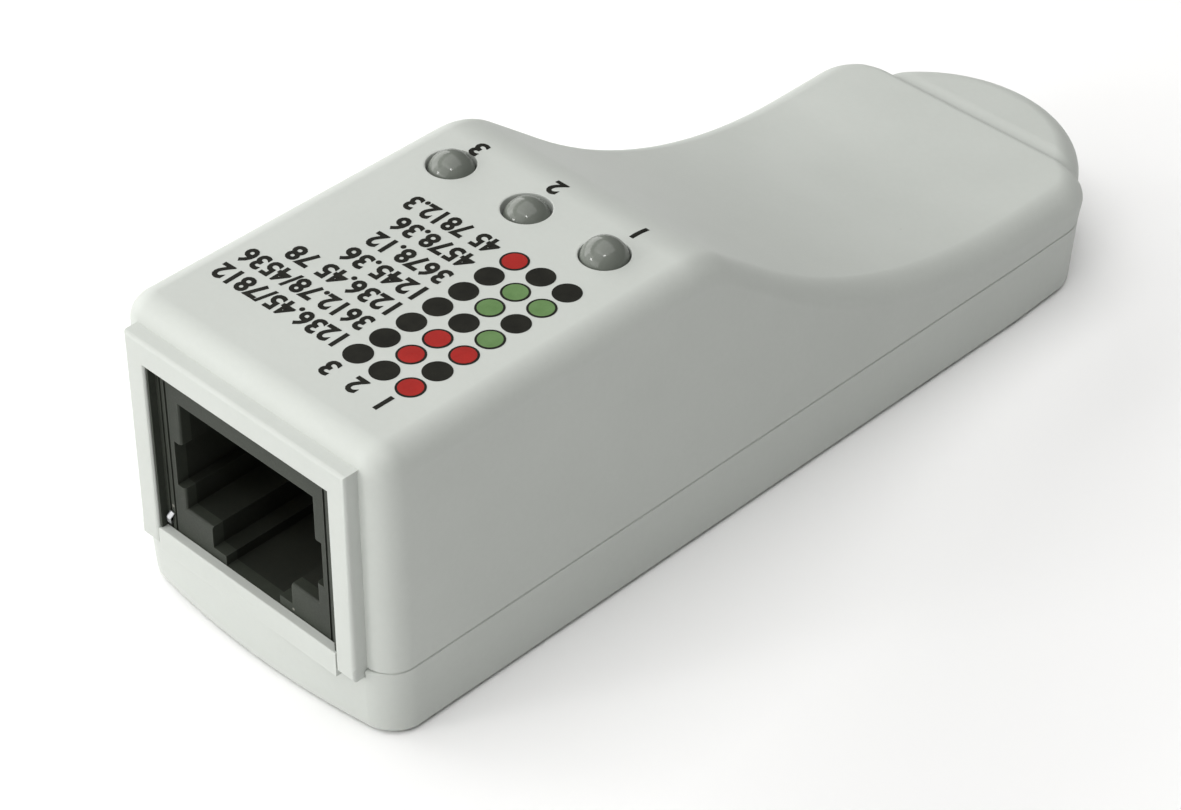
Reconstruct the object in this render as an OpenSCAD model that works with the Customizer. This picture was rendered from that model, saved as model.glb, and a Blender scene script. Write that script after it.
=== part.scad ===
/* [Case] */
// Overall width of the case
body_w = 23.2; // [22.8:0.1:23.6]
// Overall length, from the socket frame to the tip of the rounded tail
body_l = 73.6; // [73:0.2:76]
// Height of the flat top over the socket
body_h = 21.5; // [21.2:0.1:22.4]
// Height of the thin tail that the fingers hold
tail_h = 8.25; // [8.15:0.05:8.6]
// Height of the joint between the two shells
seam_z = 5.1; // [4.9:0.05:5.2]
// Wall thickness of both shells
wall = 1.5; // [1.4:0.05:1.6]
// Rounding along the top edges
edge_r = 1.8; // [1.4:0.1:1.9]

/* [Roof] */
// Distance from the front to the corner where the roof starts to fall
crest_at = 28.9; // [28.5:0.1:31]
// Slope of the falling roof, in degrees
slope_a = 38.3; // [37:0.1:40]
// Radius of the bend over the corner
crest_r = 6; // [3:0.5:6.5]
// Radius of the hollow that leads into the tail
saddle_r = 39.5; // [34:0.5:40]

/* [Tail] */
// Distance from the front to the end of the straight part of the tail
rear_at = 68.1; // [67.8:0.1:68.4]
// Corner radius of the tail, seen from above
rear_corner = 3.2; // [3:0.1:3.6]
// Radius of the rounded lobe behind the tail, seen from above
nose_r = 10.2; // [10:0.1:10.6]
// Drop from the tail to the top of the lobe
nose_drop = 0.8; // [0.4:0.1:0.8]

/* [Socket frame] */
// Width of the opening for the socket
mouth_w = 16.2; // [16.1:0.05:16.4]
// Height of the lower edge of the opening
mouth_z = 5.9; // [5.8:0.05:6]
// Height of the upper edge of the opening
mouth_top = 18.4; // [18.3:0.05:18.6]
// Outer width of the raised frame
frame_w = 19.4; // [18.8:0.1:19.5]
// Height of the raised frame's upper edge
frame_top = 20.3; // [20:0.1:20.4]
// How far the frame stands out of the front wall
frame_d = 1; // [0.8:0.1:1.2]

/* [Lights] */
// Distance between neighbouring lights
led_pitch = 6.7; // [6.5:0.05:6.9]
// Distance of the row of lights from the front
led_at = 24.3; // [23.8:0.1:24.4]
// Sideways offset of the row of lights from the middle of the case
led_shift = -0.4; // [-0.4:0.1:0]
// Diameter of the holes in the roof
led_hole_d = 3.2; // [3.1:0.05:3.4]
// Height that each dome stands out of the roof, from left to right
led_rise = [0.8, 0.6, 1.1];

/* [Socket] */
// Width of the socket housing
jack_w = 15.9; // [15.8:0.05:16]
// Depth of the socket housing
jack_l = 20.6; // [20.2:0.1:20.8]
// Distance from the frame's face to the socket's face
jack_inset = 0.7; // [0.5:0.1:1]
// Height of the socket housing above the board
jack_h = 12.7; // [12.6:0.05:12.8]
// Width of the space for the plug
plug_w = 11.9; // [11.8:0.05:12]
// Depth of the space for the plug
plug_l = 13; // [12.8:0.1:13.4]
// Number of contacts
contact_count = 8; // [8]
// Distance between neighbouring contacts
contact_pitch = 1.02; // [1:0.01:1.04]

/* [Board] */
// Width of the circuit board
board_w = 19; // [18.8:0.1:19.2]
// Length of the circuit board
board_l = 46.5; // [46:0.5:47]
// Thickness of the circuit board
board_t = 1.6; // [1.5:0.1:1.6]
// Height of the circuit board's underside
board_z = 3.8; // [3.8:0.05:3.9]

/* [Hidden] */
eps = 0.01;
half_w = body_w / 2;
front_y = -body_l / 2;
wall_y = front_y + frame_d;
rear_y = front_y + rear_at;
nose_y = front_y + body_l - nose_r;

// The roof seen from the side: flat, a bend, a straight slope, a wide hollow, a flat tail
corner_y = front_y + crest_at;
foot_y = corner_y + (body_h - tail_h) / tan(slope_a);
crest_t = crest_r * tan(slope_a / 2);
saddle_t = saddle_r * tan(slope_a / 2);
crest_a = corner_y - crest_t;
crest_b = corner_y + crest_t * cos(slope_a);
saddle_a = foot_y - saddle_t * cos(slope_a);
saddle_b = foot_y + saddle_t;
step_l = 0.8;
nose_fall = 0.03;
function roof(y) =
    y < crest_a ? body_h :
    y < crest_b ? body_h - crest_r + sqrt(crest_r * crest_r - (y - crest_a) * (y - crest_a)) :
    y < saddle_a ? body_h - (y - corner_y) * tan(slope_a) :
    y < saddle_b ? tail_h + saddle_r - sqrt(saddle_r * saddle_r - (saddle_b - y) * (saddle_b - y)) :
    y < rear_y - step_l ? tail_h :
    y < rear_y ? tail_h - nose_drop * (1 - cos(180 * (y - rear_y + step_l) / step_l)) / 2 :
    tail_h - nose_drop - nose_fall * (y - rear_y);

// The case seen from above, as stations [x, y, normal x, normal y] along its right half
top_corner = edge_r + 0.2;
bottom_corner = 2.5;
top_bow = 900;
bottom_bow = 60;
bow_steps = 3;
arc_steps = 6;
nose_steps = 10;
crest_steps = 4;
saddle_steps = 10;
rear_c = [half_w - rear_corner, rear_y - rear_corner];
rear_d = sqrt(rear_c[0] * rear_c[0] + (rear_c[1] - nose_y) * (rear_c[1] - nose_y));
rear_along = (rear_d * rear_d + nose_r * nose_r - rear_corner * rear_corner) / (2 * rear_d);
meet_a = atan2(rear_c[1] - nose_y, rear_c[0]) + acos(rear_along / nose_r);
meet = [nose_r * cos(meet_a), nose_y + nose_r * sin(meet_a)];
corner_a = atan2(meet[1] - rear_c[1], meet[0] - rear_c[0]);
mitre_a = (corner_a + meet_a) / 2;
mitre_c = cos((corner_a - meet_a) / 2);
function arc_stations(cx, cy, r, from, to, steps, first, last) =
    [for (i = [first : last]) let (a = from + (to - from) * i / steps)
        [cx + r * cos(a), cy + r * sin(a), cos(a), sin(a)]];
function steps_between(from, to, count) = [for (i = [0 : count]) from + (to - from) * i / count];
side_ys = concat(steps_between(crest_a, crest_b, crest_steps),
    steps_between(saddle_a, saddle_b, saddle_steps));
// The front is a shallow arc that runs smoothly into the corners
function bow_turn(corner, bow) = asin((half_w - corner) / (bow - corner));
function bow_depth(corner, bow) = bow - (bow - corner) * cos(bow_turn(corner, bow));
function half_outline(front, corner, bow) = concat(
    arc_stations(0, front + bow, bow, -90, -90 + bow_turn(corner, bow), bow_steps, 0, bow_steps - 1),
    arc_stations(half_w - corner, front + bow_depth(corner, bow), corner,
        -90 + bow_turn(corner, bow), 0, arc_steps, 0, arc_steps),
    [for (y = side_ys) [half_w, y, 1, 0]],
    arc_stations(rear_c[0], rear_c[1], rear_corner, 0, corner_a, arc_steps, 0, arc_steps - 1),
    [[meet[0], meet[1], cos(mitre_a) / mitre_c, sin(mitre_a) / mitre_c]],
    arc_stations(0, nose_y, nose_r, meet_a, 90, nose_steps, 1, nose_steps));
function whole_outline(half) = concat(half,
    [for (i = [len(half) - 2 : -1 : 1]) [-half[i][0], half[i][1], -half[i][2], half[i][3]]]);

// A level is [height, true if the height counts from the roof, inset, extra at the rear, extra in front]
taper_l = 8;
function rear_share(y) = pow(max(0, min(1, (y - rear_y + taper_l) / taper_l)), 2);
function ring(outline, level) =
    [for (s = outline) let (
        d = level[2] + level[3] * rear_share(s[1]) + level[4] * max(0, -s[3]),
        y = s[1] - s[3] * d)
        [s[0] - s[2] * d, y, level[1] ? roof(y) + level[0] : level[0]]];
module skin(half, levels) {
    outline = whole_outline(half);
    n = len(half);
    m = len(outline);
    top = (len(levels) - 1) * m;
    sides = [for (k = [0 : len(levels) - 2], i = [0 : m - 1]) let (
        lo = k * m,
        up = lo + m,
        j = (i + 1) % m)
        each [[lo + i, up + i, up + j], [lo + i, up + j, lo + j]]];
    strips = concat([[0, m - 1, 1]],
        [for (i = [1 : n - 3]) each [[i, m - i, m - i - 1], [i, m - i - 1, i + 1]]],
        [[n - 2, m - n + 2, n - 1]]);
    lid = [for (f = strips) [for (i = f) i + top]];
    base = [for (f = strips) [f[0], f[2], f[1]]];
    polyhedron([for (level = levels) each ring(outline, level)], concat(sides, lid, base));
}

// Shared by the shells and what they hold
jack_y = front_y + jack_inset;
jack_z = board_z + board_t;
jack_top = jack_z + jack_h;
board_y = front_y + 2.8;
led_y = front_y + led_at;
led_xs = [for (i = [-1 : 1]) led_shift + i * led_pitch];
seam_in = 0.3;
base_in = 0.8;
base_round = 0.4;
front_draft = 0.3;
lip_h = 1;
lip_gap = 0.05;
lip_t = 0.75;
screw_y = front_y + 57.5;
clamp_y = board_y + board_l - 2;

module at_ends(x) {
    for (side = [-1, 1])
        translate([side * x, 0, 0]) children();
}

module box(w, l, h) {
    translate([-w / 2, 0, 0]) cube([w, l, h]);
}

// Top shell: walls, roof, raised socket frame, boss for the screw and rib that holds the board
boss_r = 2.5;
boss_z = 3.5;
pilot_r = 0.92;
pilot_top = tail_h - 1.1;
foot_h = 0.5;
frame_root = 0.6;
rib_t = 1.2;
module top_shell() {
    color([0.81, 0.82, 0.79])
    difference() {
        union() {
            difference() {
                skin(half_outline(wall_y, top_corner, top_bow), concat(
                    [[seam_z, false, 0, seam_in, 0]],
                    [for (i = [0 : 4]) let (a = i * 90 / 4)
                        [edge_r * (sin(a) - 1), true, edge_r * (1 - cos(a)), 0, 0]]));
                skin(half_outline(wall_y, top_corner, top_bow), [
                    [seam_z - 1, false, wall, seam_in, 0],
                    [-wall, true, wall, 0, 0]]);
                skin(half_outline(wall_y, top_corner, top_bow), [
                    [seam_z - 1, false, wall - lip_t - lip_gap, seam_in, 0],
                    [seam_z + lip_h + lip_gap, false, wall - lip_t - lip_gap, seam_in, 0]]);
            }
            translate([0, front_y, seam_z]) box(frame_w, frame_d + frame_root, frame_top - seam_z);
            at_ends((frame_w + mouth_w) / 4)
                translate([0, front_y, seam_z - foot_h])
                    box((frame_w - mouth_w) / 2, frame_d, foot_h + eps);
            translate([0, screw_y, boss_z]) cylinder(r = boss_r, h = tail_h - wall / 2 - boss_z, $fn = 48);
            translate([0, clamp_y, jack_z + 0.05])
                box(8, rib_t, roof(clamp_y) - wall / 2 - jack_z - 0.05);
        }
        translate([0, front_y - 1, seam_z - 1]) box(mouth_w, wall + frame_d + 2, mouth_top - seam_z + 1);
        for (x = led_xs)
            translate([x, led_y, body_h - 3]) cylinder(d = led_hole_d, h = 4, $fn = 48);
        translate([0, screw_y, boss_z - 1]) cylinder(r = pilot_r, h = pilot_top - boss_z + 1, $fn = 48);
    }
}

// Bottom shell: tray with a lip, a sill under the socket, board supports and a recess for the screw
head_r = 2;
recess_r = 2.3;
recess_h = 1.5;
shank_hole_r = 1.3;
support_ys = [board_y + 14.5, board_y + 29, clamp_y];
jack_gap = 0.05;
module bottom_shell() {
    color([0.85, 0.86, 0.83])
    difference() {
        union() {
            difference() {
                union() {
                    skin(half_outline(front_y, bottom_corner, bottom_bow), [
                        [0, false, base_round / 2, base_in + base_round, front_draft],
                        [base_round, false, 0, base_in, front_draft],
                        [seam_z, false, 0, seam_in, 0]]);
                    skin(half_outline(wall_y, top_corner, top_bow), [
                        [seam_z - 1, false, wall - lip_t, seam_in, 0],
                        [seam_z + lip_h, false, wall - lip_t, seam_in, 0]]);
                }
                skin(half_outline(wall_y, top_corner, top_bow), [
                    [wall, false, wall, base_in, 0],
                    [seam_z + lip_h + 1, false, wall, seam_in, 0]]);
            }
            translate([0, front_y + 0.02, seam_z - 1]) box(mouth_w - 0.2, frame_d + wall, mouth_z - seam_z + 1);
            translate([0, screw_y, wall / 2]) cylinder(r = boss_r + 0.3, h = boss_z - 0.1 - wall / 2, $fn = 48);
            for (y = support_ys)
                at_ends(half_w - wall - 1.2)
                    translate([0, y, wall / 2]) box(3, rib_t, board_z - wall / 2);
        }
        at_ends((frame_w + mouth_w) / 4)
            translate([0, front_y - 1, seam_z - foot_h - 0.05])
                box((frame_w - mouth_w) / 2 + 0.1, frame_d + 1.05, 2);
        translate([0, front_y - 1, mouth_z]) box(mouth_w, wall + frame_d + 2, 3);
        translate([0, jack_y - jack_gap, jack_z - jack_gap])
            box(jack_w + 2 * jack_gap, wall + frame_d + 2, 3);
        translate([0, screw_y, -1]) cylinder(r = recess_r, h = recess_h + 1, $fn = 48);
        translate([0, screw_y, 0]) cylinder(r = shank_hole_r, h = boss_z, $fn = 48);
    }
}

// Screw that holds the shells together, put in from below
screw_r = 1.1;
head_h = 1.1;
screw_l = 5;
slot_w = 0.5;
module shell_screw() {
    color([0.55, 0.56, 0.58])
    translate([0, screw_y, recess_h])
    difference() {
        union() {
            translate([0, 0, -head_h]) cylinder(r = head_r, h = head_h, $fn = 48);
            translate([0, 0, -eps]) cylinder(r = screw_r, h = screw_l - 1 + eps, $fn = 48);
            translate([0, 0, screw_l - 1]) cylinder(r1 = screw_r, r2 = 0.4, h = 1, $fn = 48);
        }
        for (a = [0, 90])
            rotate([0, 0, a]) translate([-1.1, -slot_w / 2, -head_h - 1]) cube([2.2, slot_w, 1.7]);
    }
}

// Pins that go through the board: socket contacts in two rows, then three leads for each light
lead_t = 0.3;
lead_w = 0.4;
tail_rows = [14.8, 17.3];
led_lead = 0.5;
led_lead_pitch = 1.27;
pin_bottom = 2.7;
contact_xs = [for (i = [0 : contact_count - 1]) (i - (contact_count - 1) / 2) * contact_pitch];
contact_pins = [for (i = [0 : contact_count - 1]) [contact_xs[i], jack_y + tail_rows[i % 2]]];
led_pins = [for (x = led_xs, j = [-1 : 1]) [x + j * led_lead_pitch, led_y]];

// Circuit board with its drillings
peg_r = 1.6;
peg_x = 5.7;
peg_at = 8.9;
pin_hole_r = 0.42;
module circuit_board() {
    color([0.08, 0.32, 0.18])
    difference() {
        translate([0, board_y, board_z]) box(board_w, board_l, board_t);
        at_ends(peg_x)
            translate([0, jack_y + peg_at, board_z - 1]) cylinder(r = peg_r + 0.05, h = board_t + 2, $fn = 32);
        for (p = concat(contact_pins, led_pins))
            translate([p[0], p[1], board_z - 1]) cylinder(r = pin_hole_r, h = board_t + 2, $fn = 24);
    }
}

// Socket housing: plug space with side grooves, a stepped keyway for the latch, slots for the contacts
plug_z = 8.2;
plug_top = 16.3;
key_w = 7.2;
key_z = 6.6;
latch_w = 4.9;
latch_z = jack_z + 0.45;
groove_w = 13.2;
groove_z = 9.8;
groove_h = 3.4;
groove_l = 9;
slot_y = 2.3;
slot_top = 17;
chamber_w = 13;
chamber_y = plug_l;
flare = 0.45;
module jack_housing() {
    color([0.24, 0.26, 0.23])
    translate([0, jack_y, 0])
    difference() {
        union() {
            translate([0, 0, jack_z]) box(jack_w, jack_l, jack_h);
            at_ends(peg_x)
                translate([0, peg_at, board_z - 0.8]) cylinder(r = peg_r, h = board_t + 1, $fn = 32);
        }
        translate([0, -1, plug_z]) box(plug_w, plug_l + 1 + eps, plug_top - plug_z);
        translate([0, -1, plug_z - flare / 2]) box(plug_w + 2 * flare, 1 + flare, plug_top - plug_z + flare);
        translate([0, -1, groove_z]) box(groove_w, groove_l + 1, groove_h);
        translate([0, -1, key_z]) box(key_w, plug_l + 1 + eps, plug_z - key_z + 1);
        translate([0, -1, latch_z]) box(latch_w, plug_l + 1 + eps, key_z - latch_z + 1);
        translate([0, chamber_y, jack_z - 1]) box(chamber_w, jack_l, plug_top - jack_z + 1);
        for (x = contact_xs)
            translate([x, slot_y, plug_top - 1]) box(lead_w + 0.2, jack_l, slot_top - plug_top + 1);
    }
}

// Insert at the back of the socket, which holds the contacts and ends the plug space
insert_gap = 0.1;
insert_l = jack_l - chamber_y - 1;
module jack_insert() {
    color([0.13, 0.14, 0.13])
    difference() {
        translate([0, jack_y + chamber_y + insert_gap, jack_z])
            box(chamber_w - 2 * insert_gap, insert_l, plug_top - jack_z - insert_gap);
        for (p = contact_pins)
            translate([p[0] - 0.3, p[1] - 0.25, jack_z - 1]) cube([0.6, 0.5, jack_h]);
    }
}

// Fixed part of each contact: along the roof of the socket, then down through the board
lead_z = 16.5;
module contact_leads() {
    color([0.82, 0.68, 0.32])
    for (p = contact_pins)
        translate([p[0], 0, 0]) {
            translate([0, jack_y + slot_y + 0.2, lead_z])
                box(lead_w, p[1] - jack_y - slot_y - 0.2 + lead_t / 2, lead_t);
            translate([0, p[1] - lead_t / 2, pin_bottom]) box(lead_w, lead_t, lead_z - pin_bottom + eps);
        }
}

// Free part of each contact, which the plug lifts: a round bend, a slope and a level tip
spring_z = 16.05;
spring_end_z = 12.9;
spring_y = 2.8;
spring_end_y = 11.2;
spring_tip = 0.9;
bend_r = 0.22;
module contact_springs() {
    color([0.87, 0.73, 0.36])
    for (x = contact_xs)
        translate([x - lead_w / 2, jack_y, 0])
        rotate([90, 0, 90])
        linear_extrude(lead_w) {
            translate([spring_y, spring_z]) circle(r = bend_r, $fn = 32);
            polygon([
                [spring_y, spring_z - lead_t / 2],
                [spring_end_y, spring_end_z - lead_t / 2],
                [spring_end_y + spring_tip, spring_end_z - lead_t / 2],
                [spring_end_y + spring_tip, spring_end_z + lead_t / 2],
                [spring_end_y, spring_end_z + lead_t / 2],
                [spring_y, spring_z + lead_t / 2]]);
        }
}

// Lights: domed lens with a flange, on three leads
lens_r = 1.5;
lens_l = 5.3;
flange_r = 1.85;
flange_h = 1;
function led_base(i) = body_h + led_rise[i] - lens_l;
module led_lens(i) {
    color([0.5, 0.53, 0.5])
    translate([led_xs[i], led_y, led_base(i)]) {
        cylinder(r = flange_r, h = flange_h, $fn = 48);
        cylinder(r = lens_r, h = lens_l - lens_r, $fn = 48);
        translate([0, 0, lens_l - lens_r]) sphere(r = lens_r, $fn = 48);
    }
}
module led_leads(i) {
    color([0.75, 0.76, 0.77])
    for (j = [-1 : 1])
        translate([led_xs[i] + j * led_lead_pitch, led_y - led_lead / 2, pin_bottom])
            box(led_lead, led_lead, led_base(i) - pin_bottom);
}
module led_1_lens() { led_lens(0); }
module led_2_lens() { led_lens(1); }
module led_3_lens() { led_lens(2); }
module led_1_leads() { led_leads(0); }
module led_2_leads() { led_leads(1); }
module led_3_leads() { led_leads(2); }

// Moulded chip with gull-wing pins on two sides: size is [width, length, height] of the body
foot_t = 0.2;
body_lift = 0.15;
module chip_body(at, size) {
    translate([at[0], at[1] - size[1] / 2, jack_z + body_lift]) box(size[0], size[1], size[2]);
}
module chip_pins(at, size, pins, pitch, pin_w, reach) {
    mid = body_lift + size[2] / 2;
    for (side = [-1, 1], i = [0 : pins - 1])
        translate([at[0], at[1] + (i - (pins - 1) / 2) * pitch + pin_w / 2, jack_z])
        mirror([side > 0 ? 0 : 1, 0, 0])
        rotate([90, 0, 0])
        linear_extrude(pin_w)
        polygon([
            [size[0] / 2, mid - foot_t / 2],
            [size[0] / 2 + reach / 2 - foot_t, mid - foot_t / 2],
            [size[0] / 2 + reach / 2 - foot_t, 0],
            [size[0] / 2 + reach, 0],
            [size[0] / 2 + reach, foot_t],
            [size[0] / 2 + reach / 2, foot_t],
            [size[0] / 2 + reach / 2, mid + foot_t / 2],
            [size[0] / 2, mid + foot_t / 2]]);
}

// Two bridge rectifiers behind the lights, one for each way that power can arrive
rectifier = [4, 4.7, 2.4];
rectifier_y = front_y + 30.6;
rectifier_x = 4.9;
module rectifier_1() { color([0.1, 0.1, 0.1]) chip_body([-rectifier_x, rectifier_y], rectifier); }
module rectifier_2() { color([0.1, 0.1, 0.1]) chip_body([rectifier_x, rectifier_y], rectifier); }
module rectifier_pins() {
    color([0.78, 0.79, 0.8])
    for (x = [-rectifier_x, rectifier_x])
        chip_pins([x, rectifier_y], rectifier, 2, 2.54, 0.65, 1.4);
}

// Chip that recognises the kind of power supply
controller = [3.9, 4.9, 1.4];
controller_at = [-4.6, front_y + 43.6];
module controller_chip() { color([0.09, 0.09, 0.1]) chip_body(controller_at, controller); }
module controller_pins() {
    color([0.78, 0.79, 0.8]) chip_pins(controller_at, controller, 4, 1.27, 0.42, 1.05);
}

// Upright electrolytic capacitor: can, rubber plug and two leads
can_at = [-4.6, front_y + 37.2];
can_r = 2.5;
can_h = 5.2;
plug_h = 0.6;
module capacitor_can() {
    color([0.62, 0.63, 0.65])
    translate([can_at[0], can_at[1], jack_z + plug_h]) cylinder(r = can_r, h = can_h, $fn = 48);
}
module capacitor_plug() {
    color([0.12, 0.12, 0.12])
    translate([can_at[0], can_at[1], jack_z + 0.1]) cylinder(r = can_r - 0.3, h = plug_h - 0.1, $fn = 48);
}
module capacitor_leads() {
    color([0.75, 0.76, 0.77])
    for (side = [-1, 1])
        translate([can_at[0] + side, can_at[1], jack_z]) cylinder(r = 0.25, h = 0.1, $fn = 24);
}

// Surge diode and small transistor
diode = [3.6, 4.4, 2.2];
diode_at = [4.9, front_y + 37.2];
module surge_diode() { color([0.1, 0.1, 0.1]) chip_body(diode_at, diode); }
module surge_diode_tabs() {
    color([0.78, 0.79, 0.8])
    for (side = [-1, 1])
        translate([diode_at[0], diode_at[1] + side * (diode[1] / 2 + 0.25) - 0.25, jack_z])
            box(2, 0.5, 1.2);
}
transistor_size = [1.3, 2.9, 0.95];
transistor_at = [0.9, front_y + 43.6];
module transistor() { color([0.1, 0.1, 0.1]) chip_body(transistor_at, transistor_size); }
module transistor_pins() {
    color([0.78, 0.79, 0.8]) chip_pins(transistor_at, transistor_size, 2, 1.9, 0.4, 0.6);
}

// Flat surface-mounted parts: a body and two metal end caps each, lying along X
flat_l = 3.2;
flat_w = 1.6;
cap_l = 0.5;
resistor_ats = [[-6.4, 26.6], [0, 26.6], [6.4, 26.6], [5.9, 42.4], [5.9, 44.9]];
ceramic_ats = [[0.2, 34.4], [0.2, 39.6]];
module flat_bodies(ats, height) {
    for (p = ats)
        translate([p[0], front_y + p[1] - flat_w / 2, jack_z]) box(flat_l - 2 * cap_l, flat_w, height);
}
module flat_caps(ats, height) {
    for (p = ats)
        translate([p[0], front_y + p[1] - flat_w / 2, jack_z])
            at_ends((flat_l - cap_l) / 2) box(cap_l, flat_w, height);
}
module resistors() { color([0.12, 0.12, 0.13]) flat_bodies(resistor_ats, 0.55); }
module resistor_caps() { color([0.8, 0.81, 0.82]) flat_caps(resistor_ats, 0.6); }
module ceramic_capacitors() { color([0.66, 0.52, 0.36]) flat_bodies(ceramic_ats, 1.2); }
module ceramic_caps() { color([0.8, 0.81, 0.82]) flat_caps(ceramic_ats, 1.25); }

// Solder under the board: a small cone round each pin
solder_r = 0.6;
solder_h = 0.7;
module solder_cone(p, pin_w, pin_l) {
    translate([p[0], p[1], 0])
    difference() {
        translate([0, 0, board_z - solder_h]) cylinder(r1 = 0.42, r2 = solder_r, h = solder_h, $fn = 24);
        translate([0, -pin_l / 2, board_z - 2]) box(pin_w, pin_l, 3);
    }
}
module solder_joints() {
    color([0.7, 0.71, 0.73]) {
        for (p = contact_pins)
            solder_cone(p, lead_w, lead_t);
        for (p = led_pins)
            solder_cone(p, led_lead, led_lead);
    }
}

top_shell();
bottom_shell();
shell_screw();
circuit_board();
jack_housing();
jack_insert();
contact_leads();
contact_springs();
led_1_lens();
led_2_lens();
led_3_lens();
led_1_leads();
led_2_leads();
led_3_leads();
rectifier_1();
rectifier_2();
rectifier_pins();
controller_chip();
controller_pins();
capacitor_can();
capacitor_plug();
capacitor_leads();
surge_diode();
surge_diode_tabs();
transistor();
transistor_pins();
resistors();
resistor_caps();
ceramic_capacitors();
ceramic_caps();
solder_joints();
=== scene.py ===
# Network cable tester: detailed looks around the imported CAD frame
import math

import bmesh
import bpy
from mathutils import Matrix, Vector


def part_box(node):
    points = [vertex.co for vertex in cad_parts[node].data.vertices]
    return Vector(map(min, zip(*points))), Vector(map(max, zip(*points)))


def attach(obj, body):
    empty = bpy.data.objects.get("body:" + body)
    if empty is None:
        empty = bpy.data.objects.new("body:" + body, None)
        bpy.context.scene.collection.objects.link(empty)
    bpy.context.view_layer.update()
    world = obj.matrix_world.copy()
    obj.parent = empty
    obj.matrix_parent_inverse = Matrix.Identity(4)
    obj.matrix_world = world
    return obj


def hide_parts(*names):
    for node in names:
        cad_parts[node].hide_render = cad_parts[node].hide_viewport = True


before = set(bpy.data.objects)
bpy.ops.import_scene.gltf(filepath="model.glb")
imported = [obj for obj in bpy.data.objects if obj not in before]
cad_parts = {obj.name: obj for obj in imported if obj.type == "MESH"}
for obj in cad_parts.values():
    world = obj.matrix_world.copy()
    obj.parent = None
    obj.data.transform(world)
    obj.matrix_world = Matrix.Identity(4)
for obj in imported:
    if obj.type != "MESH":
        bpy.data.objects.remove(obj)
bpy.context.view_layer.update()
print("frame loaded:", len(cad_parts), "nodes")

mm = 0.001  # pieces are modelled in millimetres, then scaled in their meshes


def boxOf(node):
    low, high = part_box(node)
    return low / mm, high / mm


# small tools

def newPiece(name, mesh):
    piece = bpy.data.objects.new(name, mesh)
    bpy.context.scene.collection.objects.link(piece)
    return piece


def meshFrom(name, verts, faces):
    mesh = bpy.data.meshes.new(name)
    mesh.from_pydata(verts, [], faces)
    mesh.validate()
    mesh.update()
    return mesh


def applyModifiers(piece):
    graph = bpy.context.evaluated_depsgraph_get()
    solid = bpy.data.meshes.new_from_object(piece.evaluated_get(graph))
    piece.modifiers.clear()
    old = piece.data
    piece.data = solid
    if old.users == 0:
        bpy.data.meshes.remove(old)


def combine(target, tool, operation="DIFFERENCE"):
    step = target.modifiers.new("step", "BOOLEAN")
    step.operation = operation
    step.solver = "EXACT"
    step.object = tool
    applyModifiers(target)
    bpy.data.objects.remove(tool)


def roundedBlock(name, low, high, radius, segments=3, keep=None):
    # a block between two opposite corners, its edges rounded; keep(edge) says which edges
    bm = bmesh.new()
    bmesh.ops.create_cube(bm, size=1)
    size = [abs(v) for v in Vector(high) - Vector(low)]
    middle = (Vector(high) + Vector(low)) / 2
    for v in bm.verts:
        v.co = Vector([a * b for a, b in zip(v.co, size)]) + middle
    edges = [e for e in bm.edges if keep is None or keep(e)]
    if radius > 0:
        bmesh.ops.bevel(bm, geom=edges, offset=radius, segments=segments, profile=0.5, affect="EDGES")
    mesh = bpy.data.meshes.new(name)
    bm.to_mesh(mesh)
    bm.free()
    return newPiece(name, mesh)


def carve(target, low, high):
    combine(target, roundedBlock("room", low, high, 0))


def lathe(name, profile, centre, sides=64):
    # profile is (radius, height) from bottom to top; both ends close on the axis
    verts, faces, rings = [], [], []
    for radius, height in profile:
        if radius < 1e-6:
            rings.append([len(verts)])
            verts.append((centre[0], centre[1], height))
            continue
        rings.append(list(range(len(verts), len(verts) + sides)))
        for i in range(sides):
            a = 2 * math.pi * i / sides
            verts.append((centre[0] + radius * math.cos(a), centre[1] + radius * math.sin(a), height))
    for low, up in zip(rings, rings[1:]):
        for i in range(sides):
            j = (i + 1) % sides
            if len(low) == 1:
                faces.append((low[0], up[j], up[i]))
            elif len(up) == 1:
                faces.append((low[i], low[j], up[0]))
            else:
                faces.append((low[i], low[j], up[j], up[i]))
    return newPiece(name, meshFrom(name, verts, faces))


def drum(name, centre, radius, low, high, sides=64):
    return lathe(name, [(0, low), (radius, low), (radius, high), (0, high)], centre, sides)


def shadeBy(piece, angle):
    mesh = piece.data
    mesh.polygons.foreach_set("use_smooth", [True] * len(mesh.polygons))
    mesh.set_sharp_from_angle(angle=math.radians(angle))
    lean = piece.modifiers.new("lean", "WEIGHTED_NORMAL")
    lean.keep_sharp = True
    lean.weight = 60
    applyModifiers(piece)


def finishPiece(piece, material, body, stands, angle):
    shadeBy(piece, angle)
    piece.data.transform(Matrix.Scale(mm, 4))
    piece.data.materials.clear()
    piece.data.materials.append(material)
    piece.data.update()
    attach(piece, body)
    if stands:
        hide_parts(*stands)
    return piece


# shader groups

def addInputs(tree, inputs):
    # the default value says which kind of socket it is; a material has none
    for label, value in inputs.items():
        kind = "Material" if value is None else "Color" if isinstance(value, tuple) else "Float"
        socket = tree.interface.new_socket(label, in_out="INPUT", socket_type="NodeSocket" + kind)
        if value is not None:
            socket.default_value = value


def shaderGroup(name, inputs, outputs):
    group = bpy.data.node_groups.new(name, "ShaderNodeTree")
    addInputs(group, inputs)
    for label, kind in outputs:
        group.interface.new_socket(label, in_out="OUTPUT", socket_type=kind)
    start = group.nodes.new("NodeGroupInput")
    end = group.nodes.new("NodeGroupOutput")
    return group, start, end


def addNode(tree, kind, values=(), **settings):
    node = tree.nodes.new(kind)
    for key, value in settings.items():
        setattr(node, key, value)
    for key, value in dict(values).items():
        node.inputs[key].default_value = value
    return node


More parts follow.
